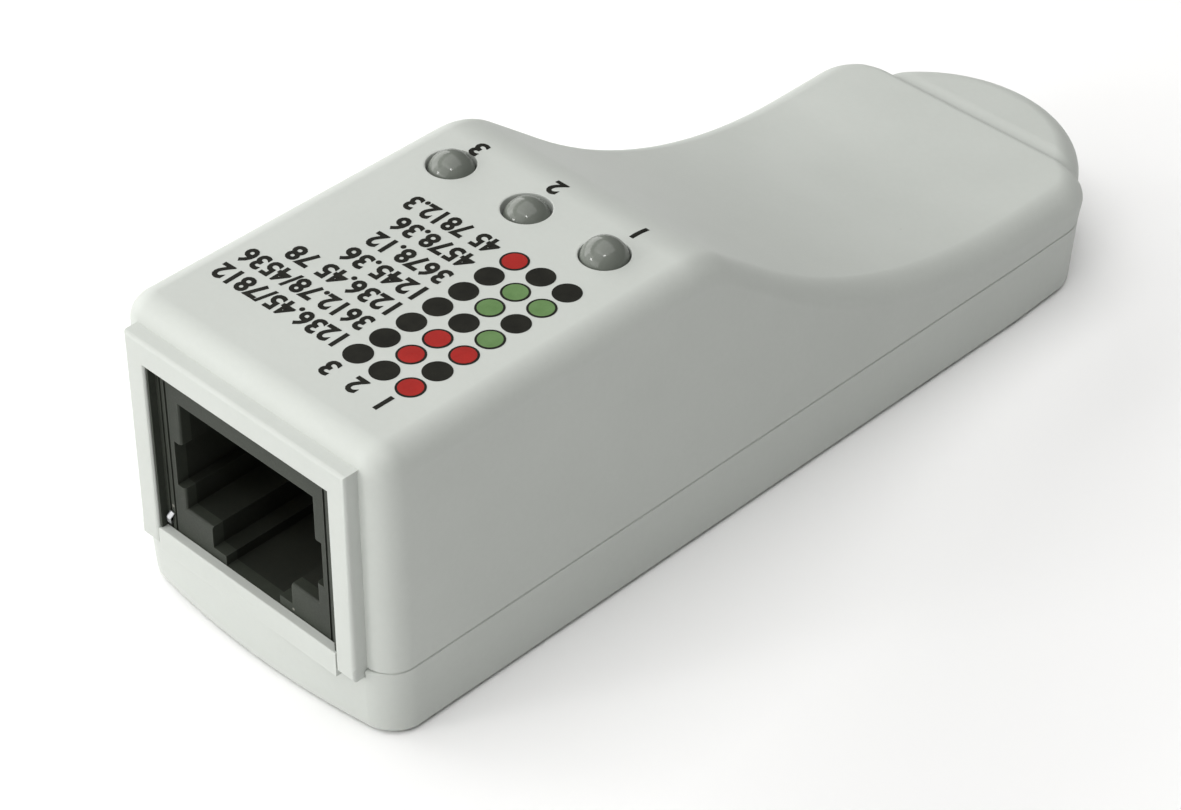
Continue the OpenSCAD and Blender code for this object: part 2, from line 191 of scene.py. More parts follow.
def linkAll(tree, rows):
    # a row is a node, its output, the next node and its input
    for node, output, target, socket in rows:
        tree.links.new(node.outputs[output], target.inputs[socket])


def mixColour(tree, mask, first, second):
    # each of mask, first and second is a socket or a plain value
    node = addNode(tree, "ShaderNodeMix", data_type="RGBA", blend_type="MIX")
    for socket, source in ((node.inputs[0], mask), (node.inputs[6], first), (node.inputs[7], second)):
        if isinstance(source, bpy.types.NodeSocket):
            tree.links.new(source, socket)
        else:
            socket.default_value = source
    return node.outputs[2]


def spread(tree, source, fromLow, fromHigh, toLow, toHigh):
    node = addNode(tree, "ShaderNodeMapRange", {1: fromLow, 2: fromHigh, 3: toLow, 4: toHigh})
    tree.links.new(source, node.inputs[0])
    return node.outputs[0]


def mathOn(tree, operation, first, second=0.0):
    node = addNode(tree, "ShaderNodeMath", operation=operation)
    for socket, source in ((node.inputs[0], first), (node.inputs[1], second)):
        if isinstance(source, bpy.types.NodeSocket):
            tree.links.new(source, socket)
        else:
            socket.default_value = source
    return node.outputs[0]


def noiseOn(tree, place, scale, detail=3.0, rough=0.5):
    node = addNode(tree, "ShaderNodeTexNoise", {"Scale": scale, "Detail": detail, "Roughness": rough})
    tree.links.new(place, node.inputs["Vector"])
    return node


# slow changes of tone that moulded or cast material has
mottleGroup, ins, outs = shaderGroup("slow mottle", {
    "Light": (1, 1, 1, 1), "Dark": (0, 0, 0, 1), "Scale": 120.0, "Fine": 2500.0},
    [("Color", "NodeSocketColor"), ("Mask", "NodeSocketFloat")])
tree = mottleGroup
place = addNode(tree, "ShaderNodeTexCoord").outputs["Object"]
broad = noiseOn(tree, place, 100.0, 3.0, 0.55)
fine = noiseOn(tree, place, 2500.0, 2.0, 0.6)
tree.links.new(ins.outputs["Scale"], broad.inputs["Scale"])
tree.links.new(ins.outputs["Fine"], fine.inputs["Scale"])
both = mathOn(tree, "ADD", mathOn(tree, "MULTIPLY", broad.outputs["Fac"], 0.7),
              mathOn(tree, "MULTIPLY", fine.outputs["Fac"], 0.3))
mask = spread(tree, both, 0.35, 0.65, 0.0, 1.0)
tint = mixColour(tree, mask, ins.outputs["Dark"], ins.outputs["Light"])
tree.links.new(tint, outs.inputs["Color"])
tree.links.new(mask, outs.inputs["Mask"])

# fine pebbled grain of a spark-eroded mould, as a height
grainGroup, ins, outs = shaderGroup("moulded grain", {"Scale": 9000.0, "Waviness": 0.15},
    [("Height", "NodeSocketFloat"), ("Pits", "NodeSocketFloat")])
tree = grainGroup
place = addNode(tree, "ShaderNodeTexCoord").outputs["Object"]
pebble = addNode(tree, "ShaderNodeTexVoronoi", feature="SMOOTH_F1")
tree.links.new(place, pebble.inputs["Vector"])
tree.links.new(ins.outputs["Scale"], pebble.inputs["Scale"])
sand = noiseOn(tree, place, 14000.0, 2.0, 0.6)
swell = noiseOn(tree, place, 180.0, 1.0, 0.4)
height = mathOn(tree, "ADD", mathOn(tree, "MULTIPLY", pebble.outputs["Distance"], 0.5),
                mathOn(tree, "MULTIPLY", sand.outputs["Fac"], 0.5))
waves = mathOn(tree, "MULTIPLY", swell.outputs["Fac"], ins.outputs["Waviness"])
height = mathOn(tree, "ADD", height, waves)
tree.links.new(height, outs.inputs["Height"])
tree.links.new(spread(tree, sand.outputs["Fac"], 0.3, 0.7, 0.0, 1.0), outs.inputs["Pits"])

# edges that hands have rubbed: where a rounded normal leaves the true one
edgeGroup, ins, outs = shaderGroup("rubbed edge", {"Width": 0.0003, "Patchy": 0.5},
                                   [("Mask", "NodeSocketFloat")])
tree = edgeGroup
place = addNode(tree, "ShaderNodeTexCoord").outputs["Object"]
soft = addNode(tree, "ShaderNodeBevel", samples=4)
tree.links.new(ins.outputs["Width"], soft.inputs["Radius"])
true = addNode(tree, "ShaderNodeNewGeometry")
turn = addNode(tree, "ShaderNodeVectorMath", operation="DOT_PRODUCT")
tree.links.new(soft.outputs[0], turn.inputs[0])
tree.links.new(true.outputs["Normal"], turn.inputs[1])
sharp = spread(tree, turn.outputs["Value"], 0.995, 0.85, 0.0, 1.0)
patch = noiseOn(tree, place, 700.0, 3.0, 0.6)
patch = spread(tree, patch.outputs["Fac"], 0.35, 0.65, 0.0, 1.0)
patchy = mathOn(tree, "SUBTRACT", 1.0, mathOn(tree, "MULTIPLY", ins.outputs["Patchy"], patch))
tree.links.new(mathOn(tree, "MULTIPLY", sharp, patchy), outs.inputs["Mask"])

# a few specks of dust
dustGroup, ins, outs = shaderGroup("dust specks", {"Scale": 900.0, "Amount": 0.04},
                                   [("Mask", "NodeSocketFloat")])
tree = dustGroup
place = addNode(tree, "ShaderNodeTexCoord").outputs["Object"]
cells = addNode(tree, "ShaderNodeTexVoronoi", feature="F1")
tree.links.new(place, cells.inputs["Vector"])
tree.links.new(ins.outputs["Scale"], cells.inputs["Scale"])
spot = mathOn(tree, "LESS_THAN", cells.outputs["Distance"], 0.12)
parts = addNode(tree, "ShaderNodeSeparateColor")
tree.links.new(cells.outputs["Color"], parts.inputs[0])
chosen = mathOn(tree, "LESS_THAN", parts.outputs[0], ins.outputs["Amount"])
tree.links.new(mathOn(tree, "MULTIPLY", spot, chosen), outs.inputs["Mask"])


def useGroup(tree, group, **values):
    node = tree.nodes.new("ShaderNodeGroup")
    node.node_tree = group
    for key, value in values.items():
        node.inputs[key].default_value = value
    return node


def plasticMaterial(name, look):
    material = bpy.data.materials.new(name)
    material.use_nodes = True
    tree = material.node_tree
    shader = tree.nodes["Principled BSDF"]
    tone = useGroup(tree, mottleGroup, Light=look["light"], Dark=look["dark"],
                    Scale=look.get("mottle", 110.0), Fine=look.get("fine", 2600.0))
    colour = tone.outputs["Color"]
    edge = useGroup(tree, edgeGroup, Width=look.get("edgeWidth", 0.0003), Patchy=0.6)
    colour = mixColour(tree, mathOn(tree, "MULTIPLY", edge.outputs["Mask"], look.get("edgeShare", 0.4)),
                       colour, look["worn"])
    dust = useGroup(tree, dustGroup, Scale=1100.0, Amount=look.get("dust", 0.02))
    specks = mathOn(tree, "MULTIPLY", dust.outputs["Mask"], 0.5)
    colour = mixColour(tree, specks, colour, (0.35, 0.34, 0.30, 1))
    tree.links.new(colour, shader.inputs["Base Color"])
    grain = useGroup(tree, grainGroup)
    low, high = look["rough"]
    rough = spread(tree, grain.outputs["Pits"], 0.0, 1.0, low, high)
    rough = mathOn(tree, "SUBTRACT", rough, mathOn(tree, "MULTIPLY", edge.outputs["Mask"], 0.08))
    rough = mathOn(tree, "ADD", rough, mathOn(tree, "MULTIPLY", tone.outputs["Mask"], 0.04))
    tree.links.new(rough, shader.inputs["Roughness"])
    bump = addNode(tree, "ShaderNodeBump", {"Strength": look["bump"], "Distance": 0.00002})
    tree.links.new(grain.outputs["Height"], bump.inputs["Height"])
    tree.links.new(bump.outputs["Normal"], shader.inputs["Normal"])
    shader.inputs["Specular IOR Level"].default_value = look.get("specular", 0.5)
    shader.inputs["Coat Weight"].default_value = look.get("coat", 0.0)
    shader.inputs["Coat Roughness"].default_value = look.get("coatRough", 0.1)
    shader.inputs["Transmission Weight"].default_value = look.get("clear", 0.0)
    return material


def drawnMetal(name, look):
    # plated or tinned metal: fine drawing lines, dull spots and bright rubbed edges
    material = bpy.data.materials.new(name)
    material.use_nodes = True
    tree = material.node_tree
    shader = tree.nodes["Principled BSDF"]
    place = addNode(tree, "ShaderNodeTexCoord").outputs["Object"]
    stretch = addNode(tree, "ShaderNodeMapping", {"Scale": look["stretch"]})
    tree.links.new(place, stretch.inputs["Vector"])
    lines = noiseOn(tree, stretch.outputs["Vector"], look["lines"], 3.0, 0.6)
    tone = useGroup(tree, mottleGroup, Light=look["light"], Dark=look["dark"], Scale=300.0, Fine=5000.0)
    edge = useGroup(tree, edgeGroup, Width=0.0001, Patchy=0.4)
    rubbed = mathOn(tree, "MULTIPLY", edge.outputs["Mask"], 0.5)
    colour = mixColour(tree, rubbed, tone.outputs["Color"], look["worn"])
    tree.links.new(colour, shader.inputs["Base Color"])
    low, high = look["rough"]
    tree.links.new(spread(tree, lines.outputs["Fac"], 0.3, 0.7, low, high), shader.inputs["Roughness"])
    shader.inputs["Metallic"].default_value = 1.0
    bump = addNode(tree, "ShaderNodeBump", {"Strength": 0.15, "Distance": 0.00001})
    tree.links.new(lines.outputs["Fac"], bump.inputs["Height"])
    tree.links.new(bump.outputs["Normal"], shader.inputs["Normal"])
    return material


shellLook = {
    "light": (0.538, 0.562, 0.531, 1), "dark": (0.512, 0.536, 0.505, 1), "worn": (0.59, 0.61, 0.58, 1),
    "rough": (0.44, 0.56), "bump": 0.10, "edgeShare": 0.4, "dust": 0.006}
shellTopMaterial = plasticMaterial("off-white shell top", shellLook)
shellBottomMaterial = plasticMaterial("off-white shell bottom", shellLook)
socketMaterial = plasticMaterial("dark grey socket", {
    "light": (0.038, 0.044, 0.034, 1), "dark": (0.029, 0.033, 0.026, 1), "worn": (0.11, 0.12, 0.10, 1),
    "rough": (0.46, 0.62), "bump": 0.2, "specular": 0.25, "edgeWidth": 0.00012, "mottle": 260.0})
# black of the jack insert, also used as painted shade on the socket body behind its face plate
insertAndCavityShadeMaterial = plasticMaterial("black insert and painted cavity shade", {
    "light": (0.022, 0.024, 0.019, 1), "dark": (0.015, 0.017, 0.013, 1), "worn": (0.04, 0.04, 0.036, 1),
    "rough": (0.5, 0.65), "bump": 0.2, "specular": 0.2, "edgeWidth": 0.0001})
goldMaterial = drawnMetal("gold plated wire", {
    "light": (0.85, 0.64, 0.28, 1), "dark": (0.72, 0.50, 0.18, 1), "worn": (0.92, 0.78, 0.50, 1),
    "rough": (0.16, 0.34), "lines": 900.0, "stretch": (9, 1, 1)})
tinMaterial = drawnMetal("tinned legs", {
    "light": (0.72, 0.73, 0.74, 1), "dark": (0.55, 0.56, 0.58, 1), "worn": (0.85, 0.85, 0.86, 1),
    "rough": (0.22, 0.42), "lines": 1200.0, "stretch": (6, 6, 1)})
solderMaterial = drawnMetal("solder", {
    "light": (0.62, 0.63, 0.65, 1), "dark": (0.42, 0.43, 0.45, 1), "worn": (0.75, 0.76, 0.77, 1),
    "rough": (0.15, 0.38), "lines": 1500.0, "stretch": (1, 1, 1)})
canMaterial = drawnMetal("drawn can", {
    "light": (0.68, 0.69, 0.70, 1), "dark": (0.56, 0.57, 0.59, 1), "worn": (0.8, 0.8, 0.81, 1),
    "rough": (0.25, 0.40), "lines": 1500.0, "stretch": (0.3, 0.3, 6)})
screwMaterial = drawnMetal("zinc plated steel", {
    "light": (0.60, 0.61, 0.62, 1), "dark": (0.44, 0.45, 0.47, 1), "worn": (0.78, 0.78, 0.79, 1),
    "rough": (0.24, 0.44), "lines": 1600.0, "stretch": (1, 1, 4)})
chipMaterial = plasticMaterial("moulded chip", {
    "light": (0.016, 0.016, 0.017, 1), "dark": (0.010, 0.010, 0.011, 1), "worn": (0.06, 0.06, 0.06, 1),
    "rough": (0.5, 0.68), "bump": 0.35, "edgeWidth": 0.0001})
rubberMaterial = plasticMaterial("black rubber", {
    "light": (0.022, 0.022, 0.022, 1), "dark": (0.014, 0.014, 0.014, 1), "worn": (0.05, 0.05, 0.05, 1),
    "rough": (0.7, 0.85), "bump": 0.3, "edgeWidth": 0.0001})
resistorMaterial = plasticMaterial("glazed resistor", {
    "light": (0.014, 0.014, 0.018, 1), "dark": (0.008, 0.008, 0.011, 1), "worn": (0.5, 0.5, 0.48, 1),
    "rough": (0.16, 0.28), "bump": 0.1, "edgeWidth": 0.00006, "edgeShare": 0.3})
ceramicMaterial = plasticMaterial("fired ceramic", {
    "light": (0.44, 0.28, 0.14, 1), "dark": (0.33, 0.20, 0.09, 1), "worn": (0.55, 0.42, 0.28, 1),
    "rough": (0.45, 0.6), "bump": 0.3, "edgeWidth": 0.00008})
lensMaterial = plasticMaterial("diffused lens", {
    "light": (0.176, 0.191, 0.168, 1), "dark": (0.156, 0.170, 0.149, 1), "worn": (0.22, 0.24, 0.21, 1),
    "rough": (0.46, 0.56), "bump": 0.05, "mottle": 900.0, "fine": 9000.0, "edgeShare": 0.1, "dust": 0.01,
    "coat": 0.65, "coatRough": 0.03, "specular": 0.1, "clear": 0.05})
inkLook = {"bump": 0.15, "edgeShare": 0.1, "mottle": 900.0, "fine": 12000.0}
inkBlackMaterial = plasticMaterial("black ink", inkLook | {
    "light": (0.016, 0.016, 0.012, 1), "dark": (0.008, 0.008, 0.006, 1), "worn": (0.05, 0.05, 0.04, 1),
    "rough": (0.55, 0.66), "specular": 0.1})
inkRedMaterial = plasticMaterial("red ink", inkLook | {
    "light": (0.35, 0.013, 0.009, 1), "dark": (0.29, 0.009, 0.006, 1), "worn": (0.5, 0.08, 0.07, 1),
    "rough": (0.45, 0.60), "specular": 0.2})
inkGreenMaterial = plasticMaterial("green ink", inkLook | {
    "light": (0.126, 0.232, 0.084, 1), "dark": (0.098, 0.190, 0.062, 1), "worn": (0.2, 0.3, 0.15, 1),
    "rough": (0.45, 0.60), "specular": 0.2})
print("materials made")


# the case: two shells

topLow, topHigh = boxOf("top_shell")
baseHigh = boxOf("bottom_shell")[1]
lampBoxes = [boxOf("led_%d_lens" % n) for n in (1, 2, 3)]
lampSpots = [((low.x + high.x) / 2, (low.y + high.y) / 2) for low, high in lampBoxes]
screwLow, screwHigh = boxOf("shell_screw")
jackLow, jackHigh = boxOf("jack_housing")
boardLow, boardHigh = boxOf("circuit_board")
screwSpot = ((screwLow.x + screwHigh.x) / 2, (screwLow.y + screwHigh.y) / 2)

caseShape = {
    "crestAt": 28.9, "slope": 38.3, "crestRadius": 6.0, "saddleRadius": 39.5,
    "tailHeight": 8.25, "rearAt": 68.1, "rearCorner": 3.9, "noseRadius": 10.2,
    "noseDrop": 0.8, "noseFall": 0.03, "noseHollow": 2.5, "stepLength": 1.5, "taperLength": 8.0,
    "valley": 0.15, "valleyLength": 1.0,
    "wall": 1.5, "edgeRadius": 1.8, "innerRound": 0.6, "baseRound": 0.55,
    "topCorner": 2.0, "bottomCorner": 2.5, "topBow": 900.0, "bottomBow": 60.0,
    "seamInset": 0.3, "baseInset": 0.8, "frontDraft": 0.3, "footHeight": 0.5, "frameDepth": 1.0,
    "lipHeight": 1.0, "lipThick": 0.75, "lipGap": 0.05, "seamChamfer": 0.09,
    "bossRadius": 2.5, "bossLow": 3.5, "pilotRadius": 0.92, "pilotLid": 1.1, "shankHole": 1.3,
    "headRecess": 2.3, "lampHole": 1.6, "ribHalf": 4.0, "ribThick": 1.2, "ribInset": 2.0,
    "supportsAt": (14.5, 29.0),
}
halfWidth = topHigh.x
roofHeight = topHigh.z
frontY = topLow.y
wallY = frontY + caseShape["frameDepth"]
rearY = frontY + caseShape["rearAt"]
noseY = topHigh.y - caseShape["noseRadius"]
seamZ = baseHigh.z - caseShape["lipHeight"]

slopeAngle = math.radians(caseShape["slope"])
cornerY = frontY + caseShape["crestAt"]
footY = cornerY + (roofHeight - caseShape["tailHeight"]) / math.tan(slopeAngle)
crestReach = caseShape["crestRadius"] * math.tan(slopeAngle / 2)
saddleReach = caseShape["saddleRadius"] * math.tan(slopeAngle / 2)
crestStart = cornerY - crestReach
crestEnd = cornerY + crestReach * math.cos(slopeAngle)
saddleStart = footY - saddleReach * math.cos(slopeAngle)
saddleEnd = footY + saddleReach


def roofAt(y):
    shape = caseShape
    if y < crestStart:
        return roofHeight
    if y < crestEnd:
        fall = shape["crestRadius"] - math.sqrt(shape["crestRadius"] ** 2 - (y - crestStart) ** 2)
        return roofHeight - fall
    if y < saddleStart:
        return roofHeight - (y - cornerY) * math.tan(slopeAngle)
    if y < saddleEnd:
        return (shape["tailHeight"] + shape["saddleRadius"]
                - math.sqrt(shape["saddleRadius"] ** 2 - (saddleEnd - y) ** 2))
    if y < rearY - shape["stepLength"]:
        return shape["tailHeight"]
    nose = shape["tailHeight"] - shape["noseDrop"] - shape["noseFall"] * max(0.0, y - rearY)
    if y < rearY:
        share = (1 - math.cos(math.pi * (y - rearY + shape["stepLength"]) / shape["stepLength"])) / 2
        return shape["tailHeight"] - (shape["noseDrop"] + shape["valley"]) * share
    if y < rearY + shape["valleyLength"]:
        return nose - shape["valley"] * (1 + math.cos(math.pi * (y - rearY) / shape["valleyLength"])) / 2
    return nose


def arcStations(cx, cy, radius, start, end, steps, first, last):
    stations = []
    for i in range(first, last + 1):
        a = math.radians(start + (end - start) * i / steps)
        stations.append((cx + radius * math.cos(a), cy + radius * math.sin(a), math.cos(a), math.sin(a)))
    return stations


def between(start, end, count):
    return [start + (end - start) * i / count for i in range(count + 1)]


def halfOutline(front, corner, bow):
    # right half of the case from above, as (x, y, normal x, normal y)
    shape = caseShape
    rearRound = shape["rearCorner"]
    rearX, rearMid = halfWidth - rearRound, rearY - rearRound
    hollow = shape["noseHollow"]  # the lobe runs into the tail's corner through this hollow radius
    noseReach, cornerReach = shape["noseRadius"] + hollow, rearRound + hollow
    away = math.hypot(rearX, rearMid - noseY)
    along = (away ** 2 + noseReach ** 2 - cornerReach ** 2) / (2 * away)
    meetAngle = math.degrees(math.atan2(rearMid - noseY, rearX) + math.acos(along / noseReach))
    hollowX = noseReach * math.cos(math.radians(meetAngle))
    hollowY = noseY + noseReach * math.sin(math.radians(meetAngle))
    cornerAngle = math.degrees(math.atan2(hollowY - rearMid, hollowX - rearX))
    bowTurn = math.degrees(math.asin((halfWidth - corner) / (bow - corner)))
    bowDepth = bow - (bow - corner) * math.cos(math.radians(bowTurn))
    stations = arcStations(0, front + bow, bow, -90, -90 + bowTurn, 6, 0, 5)
    stations += arcStations(halfWidth - corner, front + bowDepth, corner, -90 + bowTurn, 0, 14, 0, 14)
    sideYs = between(crestStart, crestEnd, 10) + between(saddleStart, saddleEnd, 24)
    stations += [(halfWidth, y, 1.0, 0.0) for y in sideYs]
    stations += arcStations(rearX, rearMid, rearRound, 0, cornerAngle, 14, 0, 13)
    inward = arcStations(hollowX, hollowY, hollow, cornerAngle + 180, meetAngle + 180, 12, 0, 12)
    stations += [(x, y, -nx, -ny) for x, y, nx, ny in inward]
    stations += arcStations(0, noseY, shape["noseRadius"], meetAngle, meetAngle + 15, 16, 1, 16)
    stations += arcStations(0, noseY, shape["noseRadius"], meetAngle + 15, 90, 22, 1, 22)
    return stations


def rearShare(y):
    share = (y - rearY + caseShape["taperLength"]) / caseShape["taperLength"]
    return max(0.0, min(1.0, share)) ** 2


def skin(name, half, levels):
    # a level is (height, counted from the roof, inset, extra at the rear, extra in front)
    outline = half + [(-x, y, -nx, ny) for x, y, nx, ny in reversed(half[1:-1])]
    n, m = len(half), len(outline)
    verts, faces = [], []
    for height, fromRoof, inset, rearExtra, frontExtra in levels:
        for x, y, nx, ny in outline:
            d = inset + rearExtra * rearShare(y) + frontExtra * max(0.0, -ny)
            yy = y - ny * d
            verts.append((x - nx * d, yy, roofAt(yy) + height if fromRoof else height))
    for k in range(len(levels) - 1):
        for i in range(m):
            j = (i + 1) % m
            faces.append((k * m + i, k * m + j, (k + 1) * m + j, (k + 1) * m + i))
    strips = [(0, 1, m - 1)]
    strips += [(i, i + 1, m - i - 1, m - i) for i in range(1, n - 2)]
    strips.append((n - 2, n - 1, m - n + 2))
    top = (len(levels) - 1) * m
    faces += [tuple(top + i for i in strip) for strip in strips]
    faces += [tuple(reversed(strip)) for strip in strips]
    return newPiece(name, meshFrom(name, verts, faces))


def topOutline():
    return halfOutline(wallY, caseShape["topCorner"], caseShape["topBow"])


mouth = {
    "width": 16.2, "bottom": 5.9, "top": 18.4, "frameWidth": 19.4, "frameTop": 20.3,
    "lipRound": 0.22, "frameRound": 0.28, "rootDepth": 0.6,
}


def mouthCutter(name, halfW, low, high, frontFace, depth, flare):
    # opening with its front edge rounded over
    verts, faces = [], []
    stations = [(frontFace - 1.0, flare)]
    for i in range(6):
        t = flare * i / 5
        stations.append((frontFace + t, flare - math.sqrt(max(0.0, flare ** 2 - (flare - t) ** 2))))
    stations.append((frontFace + depth, 0.0))
    for y, grow in stations:
        verts += [(-halfW - grow, y, low - grow), (halfW + grow, y, low - grow),
                  (halfW + grow, y, high + grow), (-halfW - grow, y, high + grow)]
    for k in range(len(stations) - 1):
        for i in range(4):
            j = (i + 1) % 4
            faces.append((4 * k + i, 4 * k + j, 4 * k + 4 + j, 4 * k + 4 + i))
    faces += [(3, 2, 1, 0), tuple(4 * (len(stations) - 1) + i for i in range(4))]
    piece = newPiece(name, meshFrom(name, verts, faces))
    fixNormals(piece)
    return piece


def fixNormals(piece):
    bm = bmesh.new()
    bm.from_mesh(piece.data)
    bmesh.ops.remove_doubles(bm, verts=bm.verts, dist=1e-5)
    bmesh.ops.recalc_face_normals(bm, faces=bm.faces)
    bm.to_mesh(piece.data)
    bm.free()


def makeTopShell():
    shape = caseShape
    inset = shape["seamInset"]
    chamfer = shape["seamChamfer"]
    edge = shape["edgeRadius"]
    levels = [(seamZ, False, chamfer, inset, 0),
              (seamZ + chamfer, False, 0, inset * 0.97, 0)]
    for i in range(11):
        a = math.radians(9 * i)
        levels.append((edge * (math.sin(a) - 1), True, edge * (1 - math.cos(a)), 0, 0))
    shell = skin("topShell", topOutline(), levels)
    wall, gap = shape["wall"], shape["lipGap"]
    inner = shape["innerRound"]
    inside = [(seamZ - 1, False, wall, inset, 0)]
    for i in range(5):
        a = math.radians(22.5 * i)
        inside.append((-wall + inner * (math.sin(a) - 1), True, wall + inner * (1 - math.cos(a)), 0, 0))
    combine(shell, skin("inside", topOutline(), inside))
    relief = wall - shape["lipThick"] - gap
    combine(shell, skin("relief", topOutline(), [
        (seamZ - 1, False, relief, inset, 0),
        (seamZ + shape["lipHeight"] + gap, False, relief, inset, 0)]))

    # raised frame, its front edges rounded, with two short feet
    half = mouth["frameWidth"] / 2
    back = frontY + shape["frameDepth"] + mouth["rootDepth"]

    def frontEdge(edge):
        return all(v.co.y < frontY + 0.01 for v in edge.verts)

    combine(shell, roundedBlock("frameBlock", (-half, frontY, seamZ), (half, back, mouth["frameTop"]),
                                mouth["frameRound"], 4, frontEdge), "UNION")
    footHalf = (half - mouth["width"] / 2) / 2
    for side in (-1, 1):
        cx = side * (half + mouth["width"] / 2) / 2
        combine(shell, roundedBlock("foot", (cx - footHalf, frontY, seamZ - shape["footHeight"]),
                                    (cx + footHalf, frontY + shape["frameDepth"], seamZ + 0.5),
                                    mouth["frameRound"] * 0.8, 4, frontEdge), "UNION")
    # boss for the screw and the rib that holds the board
    boss = drum("boss", screwSpot, shape["bossRadius"], shape["bossLow"], shape["tailHeight"] - wall / 2)
    combine(shell, boss, "UNION")
    ribY = boardHigh.y - shape["ribInset"]
    ribEnd = (shape["ribHalf"], ribY + shape["ribThick"], roofAt(ribY) - wall / 2)
    combine(shell, roundedBlock("rib", (-shape["ribHalf"], ribY, boardHigh.z + gap), ribEnd, 0), "UNION")
    combine(shell, mouthCutter("mouth", mouth["width"] / 2, seamZ - 2, mouth["top"], frontY,
                               wall + shape["frameDepth"] + 1, mouth["lipRound"]))
    r, t = shape["lampHole"], roofHeight
    holeProfile = [(0, t - 3), (r, t - 3), (r, t - 0.16), (r + 0.05, t - 0.05), (r + 0.16, t),
                   (r + 0.16, t + 1), (0, t + 1)]
    for spot in lampSpots:
        combine(shell, lathe("hole", holeProfile, spot, 72))
    pilotTop = shape["tailHeight"] - shape["pilotLid"]
    pilot = drum("pilot", screwSpot, shape["pilotRadius"], shape["bossLow"] - 1, pilotTop, 48)
    combine(shell, pilot)
    return shell


def makeBottomShell():
    shape = caseShape
    inset = shape["seamInset"]
    chamfer, wall, gap = shape["seamChamfer"], shape["wall"], shape["lipGap"]
    baseRound, steps = shape["baseRound"], 6
    levels = []
    for i in range(steps + 1):
        a = math.radians(90 * i / steps)
        out = 1 - math.sin(a)
        levels.append((baseRound * (1 - math.cos(a)), False, baseRound * out,
                       shape["baseInset"] + 0.6 * out, shape["frontDraft"] + 0.3 * out))
    levels.append((seamZ - chamfer, False, 0, inset * 1.03, 0.005))
    levels.append((seamZ, False, chamfer, inset, 0))
    shell = skin("bottomShell", halfOutline(frontY, shape["bottomCorner"], shape["bottomBow"]), levels)
    lipInset = wall - shape["lipThick"]
    combine(shell, skin("lip", topOutline(), [
        (seamZ - 1, False, lipInset, inset, 0),
        (seamZ + shape["lipHeight"] - 0.2, False, lipInset, inset, 0),
        (seamZ + shape["lipHeight"], False, lipInset + 0.15, inset, 0)]), "UNION")
    combine(shell, skin("inside", topOutline(), [
        (wall, False, wall + 0.5, shape["baseInset"], 0), (wall + 0.5, False, wall, shape["baseInset"], 0),
        (seamZ + shape["lipHeight"] + 1, False, wall, inset, 0)]))
    # sill under the socket, its top edge rounded
    halfMouth = mouth["width"] / 2 - 0.03
    combine(shell, roundedBlock("sill", (-halfMouth, frontY + 0.02, seamZ - 1),
                                (halfMouth, frontY + shape["frameDepth"] + wall, mouth["bottom"]), 0.12, 3,
                                lambda e: all(v.co.z > mouth["bottom"] - 0.01 for v in e.verts)), "UNION")
    boss = drum("boss", screwSpot, shape["bossRadius"] + 0.3, wall / 2, shape["bossLow"] - 0.1)
    combine(shell, boss, "UNION")
    thick = shape["ribThick"]
    for y in [boardLow.y + at for at in shape["supportsAt"]] + [boardHigh.y - shape["ribInset"]]:
        for side in (-1, 1):
            cx = side * (halfWidth - wall - 1.2)
            post = roundedBlock("support", (cx - 1.5, y, wall / 2), (cx + 1.5, y + thick, boardLow.z), 0)
            combine(shell, post, "UNION")
    # room for the frame's legs, the mouth and the socket
    inner, outer = mouth["width"] / 2 - 0.02, mouth["frameWidth"] / 2 + 0.05
    for side in (-1, 1):
        carve(shell, (side * inner, frontY - 1, seamZ - shape["footHeight"] - gap),
              (side * outer, wallY + gap, seamZ + 1.5))
    carve(shell, (-mouth["width"] / 2, frontY - 1, mouth["bottom"]),
          (mouth["width"] / 2, frontY + 4, mouth["bottom"] + 3))
    carve(shell, (jackLow.x - gap, jackLow.y - gap, boardHigh.z - gap),
          (jackHigh.x + gap, frontY + 4, boardHigh.z + 3))
    r = shape["headRecess"]
    recessProfile = [(0, -1), (r + 0.25, -1), (r + 0.25, 0), (r + 0.12, 0.06), (r, 0.25), (r, wall),
                     (0, wall)]
    combine(shell, lathe("recess", recessProfile, screwSpot, 72))
    combine(shell, drum("shankHole", screwSpot, shape["shankHole"], 0, 4.5, 48))
    return shell


finishPiece(makeTopShell(), shellTopMaterial, "case", ["top_shell"], 26)
print("top shell made")
finishPiece(makeBottomShell(), shellBottomMaterial, "case", ["bottom_shell"], 26)
print("bottom shell made")


# the socket

socketShape = {
    "plugWidth": 11.9, "plugDepth": 13.0, "plugLow": 8.2, "plugHigh": 16.3, "keyWidth": 7.2, "keyLow": 6.6,
    "latchWidth": 4.9, "grooveWidth": 13.2, "grooveLow": 9.8, "grooveHigh": 13.2, "grooveDepth": 9.0,
    "contactPitch": 1.02, "slotStart": 2.3, "slotWidth": 0.6, "slotTop": 17.0, "chamberWidth": 13.0,
    "edge": 0.16, "flare": 0.22, "faceDepth": 0.85, "pegX": 5.7, "pegY": 8.9, "pegRadius": 1.6,
    "faceGrooves": (7.05, 7.5), "grooveHalf": 0.09, "gripsAt": (8.5, 14.8), "gripFloor": 7.6,
    "lipInner": 7.86, "lipOuter": 8.05,
}
contactXs = [(i - 3.5) * socketShape["contactPitch"] for i in range(8)]


